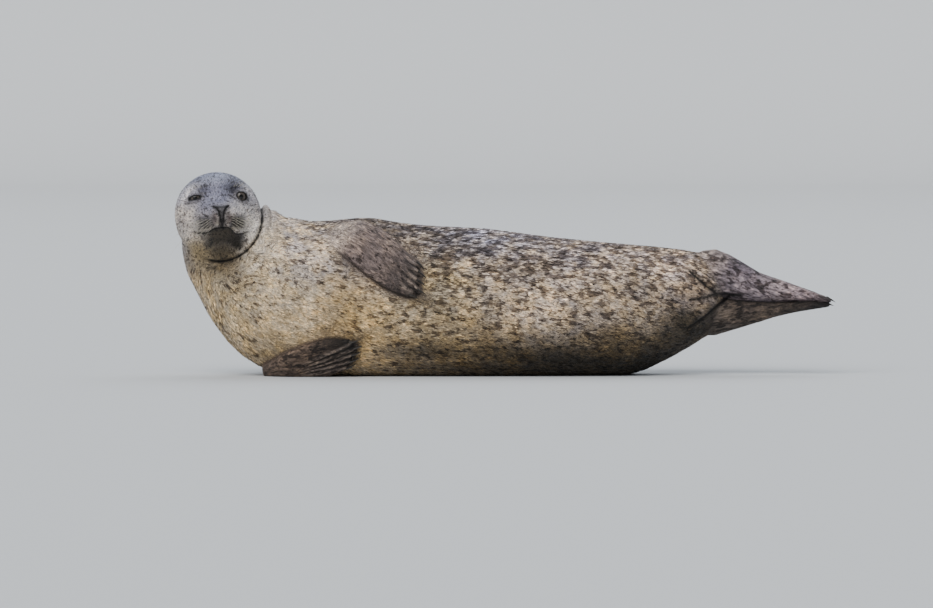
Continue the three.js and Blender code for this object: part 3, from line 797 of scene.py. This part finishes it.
def coat_material(name, on_tufts):
    """The coat's markings, the same on the skin and on the tufts, which take them at their roots."""
    material, tree, shader = new_material(name, {
        "Roughness": 0.62, "Specular IOR Level": 0.3, "Sheen Weight": 0.05, "Sheen Roughness": 0.5,
    })

    def attribute(title, output):
        return add_node(tree, "ShaderNodeAttribute", attribute_name=title).outputs[output]

    def noise(vector, scale, detail=2.0, roughness=0.5):
        inputs = {"Scale": scale, "Detail": detail, "Roughness": roughness, "Vector": vector}
        return add_node(tree, "ShaderNodeTexNoise", inputs).outputs["Fac"]

    def math_node(kind, *values):
        return add_node(tree, "ShaderNodeMath", dict(enumerate(values)), operation=kind).outputs["Value"]

    def step(value, low, high):
        inputs = {"From Min": low, "From Max": high, "Value": value}
        return add_node(tree, "ShaderNodeMapRange", inputs, interpolation_type="SMOOTHSTEP").outputs["Result"]

    def mix(share, first, second, kind="MIX"):
        colours = [(*value, 1) if isinstance(value, tuple) else value for value in (first, second)]
        inputs = {0: share, 6: colours[0], 7: colours[1]}
        return add_node(tree, "ShaderNodeMix", inputs, data_type="RGBA", blend_type=kind).outputs[2]

    def times(first, second):
        return mix(1.0, first, second, "MULTIPLY")

    def tinted(share, colour, tint):
        return mix(share, colour, times(colour, tint))

    root, comb = attribute("root", "Vector"), attribute("comb", "Vector")
    on_the_head = attribute("on_head", "Fac")
    drawn_out = add_node(tree, "ShaderNodeVectorMath", {0: comb, 1: (4.0, 1.0, 1.0)}, operation="MULTIPLY")
    drawn_out = drawn_out.outputs["Vector"]
    blotch = math_node("MULTIPLY_ADD", attribute("blotched", "Fac"), 0.13, noise(drawn_out, 74))
    blotch = step(blotch, 0.585, 0.635)
    speck = math_node("MULTIPLY_ADD", attribute("spotted", "Fac"), 0.10, noise(drawn_out, 175))
    speck = step(speck, 0.585, 0.635)
    pale = step(noise(drawn_out, 120), 0.52, 0.66)
    wide = step(noise(root, 13, 3.0), 0.35, 0.65)
    streak = step(noise(comb, 620, 3.0, 0.6), 0.36, 0.64)
    ochre = step(noise(root, 30, 3.0, 0.6), 0.38, 0.62)
    band = step(noise(comb, 170, 3.0, 0.6), 0.38, 0.62)
    fleck = math_node("MULTIPLY", on_the_head, step(noise(root, 330), 0.52, 0.60))
    pale_share = math_node("MULTIPLY", pale, math_node("MULTIPLY_ADD", on_the_head, -0.5, 0.85))

    colour = attribute("tone", "Color")
    colour = times(colour, mix(wide, (0.84, 0.84, 0.87), (1.34, 1.31, 1.24)))
    colour = tinted(attribute("warm", "Fac"), colour, mix(ochre, (0.96, 0.97, 1.03), (1.07, 1.0, 0.86)))
    colour = tinted(attribute("on_flipper", "Fac"), colour, mix(band, (0.55, 0.53, 0.53), (1.25, 1.22, 1.20)))
    colour = tinted(math_node("MULTIPLY", fleck, 0.75), colour, (0.42, 0.42, 0.46))
    colour = tinted(pale_share, colour, (1.7, 1.66, 1.56))
    colour = tinted(math_node("MULTIPLY", blotch, 0.92), colour, (0.20, 0.18, 0.18))
    colour = tinted(math_node("MULTIPLY", speck, 0.88), colour, (0.20, 0.18, 0.17))
    colour = times(colour, mix(streak, (0.70, 0.69, 0.68), (1.4, 1.4, 1.4)))
    if on_tufts:
        colour = times(colour, mix(attribute("tip", "Fac"), (0.72, 0.70, 0.68), (1.45, 1.44, 1.40)))
        colour = times(colour, mix(attribute("shade", "Fac"), (0.55, 0.54, 0.53), (1.45, 1.45, 1.42)))
    else:
        # The skin between the tufts is painted darker as painted shade beneath them.
        colour = times(colour, (0.80, 0.80, 0.80))
        height = math_node("ADD", streak, noise(comb, 1500))
        bump = add_node(tree, "ShaderNodeBump", {"Distance": 0.0016, "Strength": 0.7, "Height": height})
        tree.links.new(bump.outputs["Normal"], shader.inputs["Normal"])
    tree.links.new(colour, shader.inputs["Base Color"])
    return material


skin.data.materials.clear()
skin.data.materials.append(coat_material("coat_skin", False))
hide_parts(*TRUNK, *FLIPPERS)
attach(skin, "root")

# ---- The tufts of the coat ----
# Short flat tufts lie over one another along the body, smallest on the face and flippers. One tuft is a thin
# three-sided lock with its tip raised, set many times over by Geometry Nodes.
TUFT = {"wide": 0.17, "thick": 0.05, "sunk": 0.03, "raised": 0.15, "bulge": 0.40}
PATCH = 0.003
SECTIONS = {
    "coat_head": ("trunk", 0.0, 0.21),
    "coat_throat": ("trunk", 0.21, 0.40),
    "coat_chest": ("trunk", 0.40, 0.62),
    "coat_belly": ("trunk", 0.62, 0.87),
    "coat_flank": ("trunk", 0.87, 1.13),
    "coat_hips": ("trunk", 1.13, 3.0),
    **{"coat_" + name: (name, -1.0, 3.0) for name in FLIPPERS},
}

tuft_points, tuft_faces, tuft_tips = [], [], []
for at, wide, lift in ((0.0, 0.7, -TUFT["sunk"]), (TUFT["bulge"], 1.0, 0.07)):
    for turn in (90, 210, 330):
        turn = math.radians(turn)
        spot = (at, 0.5 * wide * TUFT["wide"] * math.cos(turn), lift + TUFT["thick"] * math.sin(turn))
        tuft_points.append(spot)
        tuft_tips.append(at)
tuft_points.append((1.0, 0.0, TUFT["raised"]))
tuft_tips.append(1.0)
for corner in range(3):
    after = (corner + 1) % 3
    tuft_faces.append((corner, after, 3 + after))
    tuft_faces.append((corner, 3 + after, 3 + corner))
    tuft_faces.append((3 + corner, 3 + after, 6))
tuft_faces.append((2, 1, 0))
tuft_mesh = bpy.data.meshes.new("tuft")
tuft_mesh.from_pydata(tuft_points, [], [face[::-1] for face in tuft_faces])
shade_smooth(tuft_mesh)
store(tuft_mesh, "tip", "FLOAT", np.array(tuft_tips))
store(tuft_mesh, "patch", "FLOAT_VECTOR", np.array([(x, y / TUFT["wide"], 0) for x, y, z in tuft_points]))
tuft = bpy.data.objects.new("tuft", tuft_mesh)


def node_group(name, sockets, output):
    """A group of Geometry Nodes with its inputs and its one output."""
    group = bpy.data.node_groups.new(name, "GeometryNodeTree")
    for title, kind in sockets.items():
        group.interface.new_socket(name=title, in_out="INPUT", socket_type="NodeSocket" + kind)
    group.interface.new_socket(name=output, in_out="OUTPUT", socket_type="NodeSocketGeometry")
    return group


def grow(piece, group, values):
    """Turns the piece's mesh into what the group makes of it."""
    grown = piece.modifiers.new(group.name, "NODES")
    grown.node_group = group
    for item in group.interface.items_tree:
        if item.name in values:
            grown[item.identifier] = values[item.name]
    piece.data = evaluated_mesh(piece)
    piece.modifiers.clear()


tufts = node_group("tufts", {
    "Skin": "Geometry", "Tuft": "Object", "Coat": "Material", "From": "Float", "To": "Float", "Band": "Float",
    "Band width": "Float", "Patch": "Float", "Seed": "Int",
}, "Tufts")
tuft_node = functools.partial(add_node, tufts)


def named(title, kind="FLOAT"):
    return tuft_node("GeometryNodeInputNamedAttribute", {"Name": title}, data_type=kind)


given = tuft_node("NodeGroupInput").outputs
strewn = tuft_node("GeometryNodeDistributePointsOnFaces", {
    "Mesh": given["Skin"], "Density": named("fur"), "Seed": given["Seed"],
})
too_low = tuft_node("FunctionNodeCompare", {0: named("station"), 1: given["From"]}, operation="LESS_THAN")
too_high = tuft_node("FunctionNodeCompare", {0: named("station"), 1: given["To"]}, operation="GREATER_EQUAL")
outside = tuft_node("FunctionNodeBooleanMath", {0: too_low, 1: too_high}, operation="OR")
kept_points = tuft_node("GeometryNodeDeleteGeometry", {"Geometry": strewn, "Selection": outside})
flat = tuft_node("FunctionNodeAxesToRotation", {
    "Primary Axis": strewn.outputs["Normal"], "Secondary Axis": named("lie", "FLOAT_VECTOR"),
}, primary_axis="Z", secondary_axis="X")
sway = tuft_node("FunctionNodeRandomValue", {
    0: (-0.06, -0.10, -0.28), 1: (0.06, 0.05, 0.28), "Seed": 3,
}, data_type="FLOAT_VECTOR")
turned = tuft_node("FunctionNodeEulerToRotation", {0: sway})
swayed = tuft_node("FunctionNodeRotateRotation", {0: flat, 1: turned}, rotation_space="LOCAL")
spread = tuft_node("FunctionNodeRandomValue", {
    0: (0.75, 0.75, 0.8), 1: (1.25, 1.3, 1.3), "Seed": 7,
}, data_type="FLOAT_VECTOR")
size = tuft_node("ShaderNodeVectorMath", {0: spread, "Scale": named("length")}, operation="SCALE")
lock = tuft_node("GeometryNodeObjectInfo", {"Object": given["Tuft"]})
placed = tuft_node("GeometryNodeInstanceOnPoints", {
    "Points": kept_points, "Instance": lock.outputs["Geometry"], "Rotation": swayed, "Scale": size,
})
random_shade = tuft_node("FunctionNodeRandomValue", {2: 0.0, 3: 1.0, "Seed": 11}, data_type="FLOAT")
shaded = tuft_node("GeometryNodeStoreNamedAttribute", {
    "Geometry": placed, "Name": "shade", "Value": random_shade.outputs[1],
}, data_type="FLOAT", domain="INSTANCE")
made = tuft_node("GeometryNodeRealizeInstances", {"Geometry": shaded})
offset = tuft_node("ShaderNodeSeparateXYZ", {0: named("offset", "FLOAT_VECTOR")})
angle = tuft_node("ShaderNodeMath", {0: offset.outputs["Y"], 1: offset.outputs["Z"]}, operation="ARCTAN2")
turn = tuft_node("ShaderNodeMath", {0: angle, 1: 1 / (2 * math.pi), 2: 0.5}, operation="MULTIPLY_ADD")
level = tuft_node("ShaderNodeMath", {
    0: turn, 1: given["Band width"], 2: given["Band"],
}, operation="MULTIPLY_ADD")
unwrapped = tuft_node("ShaderNodeCombineXYZ", {0: named("unwrap"), 1: level})
patch = tuft_node("ShaderNodeVectorMath", {
    0: named("patch", "FLOAT_VECTOR"), "Scale": given["Patch"],
}, operation="SCALE")
spot = tuft_node("ShaderNodeVectorMath", {0: unwrapped, 1: patch}, operation="ADD")
mapped = tuft_node("GeometryNodeStoreNamedAttribute", {
    "Geometry": made, "Name": "OFBake", "Value": spot,
}, data_type="FLOAT2", domain="CORNER")
dressed = tuft_node("GeometryNodeSetMaterial", {"Geometry": mapped, "Material": given["Coat"]})
tuft_node("NodeGroupOutput", {"Tufts": dressed})

coat = coat_material("coat_tufts", True)
faces_limb = np.array([max(limb[v] for v in face.vertices) for face in skin.data.polygons])
spans = {"trunk": (0.0, 0.78)}
for index, name in enumerate(FLIPPERS):
    spans[name] = (0.80 + 0.05 * index, 0.04)
for seed, (name, (limb_name, start, end)) in enumerate(SECTIONS.items()):
    ground = bmesh.new()
    ground.from_mesh(skin.data)
    ground.faces.ensure_lookup_table()
    others = [ground.faces[i] for i in np.flatnonzero(faces_limb != LIMBS.index(limb_name))]
    bmesh.ops.delete(ground, geom=others, context="FACES")
    ground_mesh = bpy.data.meshes.new(name)
    ground.to_mesh(ground_mesh)
    ground.free()
    ground_points = mesh_points(ground_mesh)
    line_length = even_line(lines[limb_name], 2)[1][-1]
    stations, _, sideways, upwards = along_line(
        ground_points, lines[limb_name], line_stops(limb_name), LINE_BLUR
    )
    store(ground_mesh, "offset", "FLOAT_VECTOR", np.stack([0 * stations, sideways, upwards], 1))
    store(ground_mesh, "station", "FLOAT", stations)
    store(ground_mesh, "unwrap", "FLOAT", stations / line_length * 0.99)
    piece = placed_object(name, ground_mesh)
    grow(piece, tufts, {
        "Tuft": tuft, "Coat": coat, "From": start, "To": end, "Band": spans[limb_name][0],
        "Band width": spans[limb_name][1], "Patch": PATCH, "Seed": seed + 1,
    })
    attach(piece, "root")

# ---- The eyes ----
# Each eye is a wet dark ball behind the lids, with a black pupil in a brown iris.
IRIS = [
    (0.0, (0.003, 0.003, 0.003)),
    (0.24, (0.003, 0.003, 0.003)),
    (0.29, (0.055, 0.045, 0.038)),
    (0.50, (0.075, 0.063, 0.055)),
    (0.60, (0.010, 0.008, 0.008)),
    (1.0, (0.020, 0.016, 0.015)),
]
eye_glass, eye_tree, eye_shader = new_material("eye", {"Roughness": 0.06, "Specular IOR Level": 0.35})
from_pupil = add_node(eye_tree, "ShaderNodeAttribute", attribute_name="iris")
colour_by(from_pupil.outputs["Fac"], IRIS, eye_tree, eye_shader)
for eye_side in ("left", "right"):
    ball = bmesh.new()
    bmesh.ops.create_uvsphere(ball, u_segments=48, v_segments=32, radius=EYE_PLACE["radius"])
    ball.transform(Matrix.Translation(eye_centres[eye_side]))
    ball_mesh = bpy.data.meshes.new("eyeball_" + eye_side)
    ball.to_mesh(ball_mesh)
    ball.free()
    shade_smooth(ball_mesh)
    eyeball = placed_object("eyeball_" + eye_side, ball_mesh)
    outwards = 1 if eye_side == "right" else -1
    gaze = np.array([outwards * 0.12, 0.99, 0.02]) @ head_axes
    ball_points = mesh_points(ball_mesh) - np.array(eye_centres[eye_side])
    off_axis = ball_points - np.outer(ball_points @ gaze, gaze)
    flat = np.hypot(off_axis @ head_axes[0], 0.85 * (off_axis @ head_axes[2])) / EYE_PLACE["radius"]
    store(ball_mesh, "iris", "FLOAT", np.where(ball_points @ gaze > 0, flat, 1.0))
    ball_mesh.materials.append(eye_glass)
    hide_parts("eye_" + eye_side)
    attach(eyeball, "root")

# ---- The whiskers ----
# Pale whiskers fan out and down from rows on the pads, each from a swollen dark root, and a few short hairs
# stand over each eye. Each follows its own curve, which Geometry Nodes turns into a tapered hair.
WHISKER_ROWS = [(-7, 3), (-13, 4), (-19, 4), (-25, 4), (-30, 3)]
WHISKER = {
    "first": 20, "spacing": 9.0, "short": 28, "long": 108, "steps": 14, "thick": 0.00032, "root": 0.0012,
}
BROW = {"count": 4, "long": 26, "steps": 8, "thick": 0.00035, "root": 0.0006, "up": 66}
HAIR_SIDES = 5

skin_tree = BVHTree.FromObject(skin, bpy.context.evaluated_depsgraph_get())
hairs = node_group("hairs", {"Paths": "Geometry", "Hair": "Material", "Sides": "Int"}, "Hairs")
hair_node = functools.partial(add_node, hairs)
given = hair_node("NodeGroupInput").outputs
curves = hair_node("GeometryNodeMeshToCurve", {"Mesh": given["Paths"]})
thickness = hair_node("GeometryNodeInputNamedAttribute", {"Name": "thick"})
ring = hair_node("GeometryNodeCurvePrimitiveCircle", {"Radius": 1.0, "Resolution": given["Sides"]})
tubes = hair_node("GeometryNodeCurveToMesh", {
    "Curve": curves, "Profile Curve": ring, "Scale": thickness, "Fill Caps": True,
})
whole = hair_node("GeometryNodeRealizeInstances", {"Geometry": tubes})
coloured = hair_node("GeometryNodeSetMaterial", {"Geometry": whole, "Material": given["Hair"]})
hair_node("NodeGroupOutput", {"Hairs": coloured})

hair_material, hair_tree, hair_shader = new_material("whisker", {"Roughness": 0.4})
hair_tip = add_node(hair_tree, "ShaderNodeAttribute", attribute_name="tip")
hair_stops = [(0.03, (0.02, 0.018, 0.016)), (0.12, (0.46, 0.42, 0.34))]
colour_by(hair_tip.outputs["Fac"], hair_stops, hair_tree, hair_shader)


def hair_path(root, heading, sag, long, hair):
    """Points of a hair that bends down by sag, its thickness at each and the share of its length."""
    share = np.linspace(0, 1, hair["steps"])
    path = root + share[:, None] * long * heading - np.outer(share**2, np.array([0, 0, sag * long]))
    taper = hair["thick"] * (1 - share) ** 0.8 + 0.00008
    taper[0] = hair["root"]
    return path, taper, share


def on_skin(side, up):
    """Where the face is met from in front at a place given in mm, and its normal there."""
    start = from_head(np.array([side, 220, up]) / 1000)
    hit, normal, _, _ = skin_tree.ray_cast(Vector(start), Vector(-head_axes[1]))
    return np.array(hit), np.array(normal)


dice = np.random.default_rng(31)
hair_sets = {"whiskers_left": [], "whiskers_right": [], "brow_hairs": []}
for hair_side, outwards in (("right", 1), ("left", -1)):
    for up, count in WHISKER_ROWS:
        for place_in_row in range(count):
            across = WHISKER["first"] + WHISKER["spacing"] * (place_in_row + 0.5 * (count < 5))
            across += dice.uniform(-1, 1)
            hit, normal = on_skin(outwards * across - NOSE_ASIDE, up + dice.uniform(-1, 1))
            share = place_in_row / 4
            long = (WHISKER["short"] + (WHISKER["long"] - WHISKER["short"]) * share) * dice.uniform(0.85, 1.1)
            down = 0.44 if up < -20 else 0.22
            heading = np.array([outwards * (0.8 + 0.4 * share), 0.35 - 0.55 * share, -down])
            heading = heading / np.linalg.norm(heading) @ head_axes + 0.45 * normal
            heading /= np.linalg.norm(heading)
            root = hit - 0.0012 * normal
            path = hair_path(root, heading, dice.uniform(0.25, 0.45), long / 1000, WHISKER)
            hair_sets["whiskers_" + hair_side].append(path)
    for number in range(BROW["count"]):
        hit, normal = on_skin(outwards * (40 + 5 * number), BROW["up"] + 2 * (number % 2))
        heading = np.array([outwards * (0.2 + 0.25 * number), -0.2, 0.8]) @ head_axes + 0.6 * normal
        heading /= np.linalg.norm(heading)
        long = BROW["long"] / 1000 * dice.uniform(0.7, 1.1)
        hair_sets["brow_hairs"].append(hair_path(hit - 0.001 * normal, heading, 0.2, long, BROW))

for name, paths in hair_sets.items():
    path_points, path_edges, thick, tips = [], [], [], []
    for path, taper, share in paths:
        first = len(path_points)
        path_points += [tuple(point) for point in path]
        path_edges += [(first + step, first + step + 1) for step in range(len(path) - 1)]
        thick += list(taper)
        tips += list(share)
    path_mesh = bpy.data.meshes.new(name)
    path_mesh.from_pydata(path_points, path_edges, [])
    store(path_mesh, "thick", "FLOAT", np.array(thick))
    store(path_mesh, "tip", "FLOAT", np.array(tips))
    piece = placed_object(name, path_mesh)
    grow(piece, hairs, {"Hair": hair_material, "Sides": HAIR_SIDES})
    shade_smooth(piece.data)
    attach(piece, "root")

# ---- The claws ----
# The claws are the solids themselves, black horn with fine paler mottling and scuffs.
horn, horn_tree, horn_shader = new_material("horn", {"Roughness": 0.35})
horn_place = add_node(horn_tree, "ShaderNodeTexCoord")
horn_noise = add_node(
    horn_tree, "ShaderNodeTexNoise", {"Scale": 260, "Detail": 4, "Vector": horn_place.outputs["Object"]}
)
horn_stops = [(0.0, (0.010, 0.009, 0.008)), (1.0, (0.055, 0.048, 0.042))]
colour_by(horn_noise.outputs["Fac"], horn_stops, horn_tree, horn_shader)
horn_bump = add_node(horn_tree, "ShaderNodeBump", {"Distance": 0.0004, "Height": horn_noise.outputs["Fac"]})
horn_tree.links.new(horn_bump.outputs["Normal"], horn_shader.inputs["Normal"])
for name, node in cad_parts.items():
    if name.startswith("claw"):
        node.data.materials.clear()
        node.data.materials.append(horn)
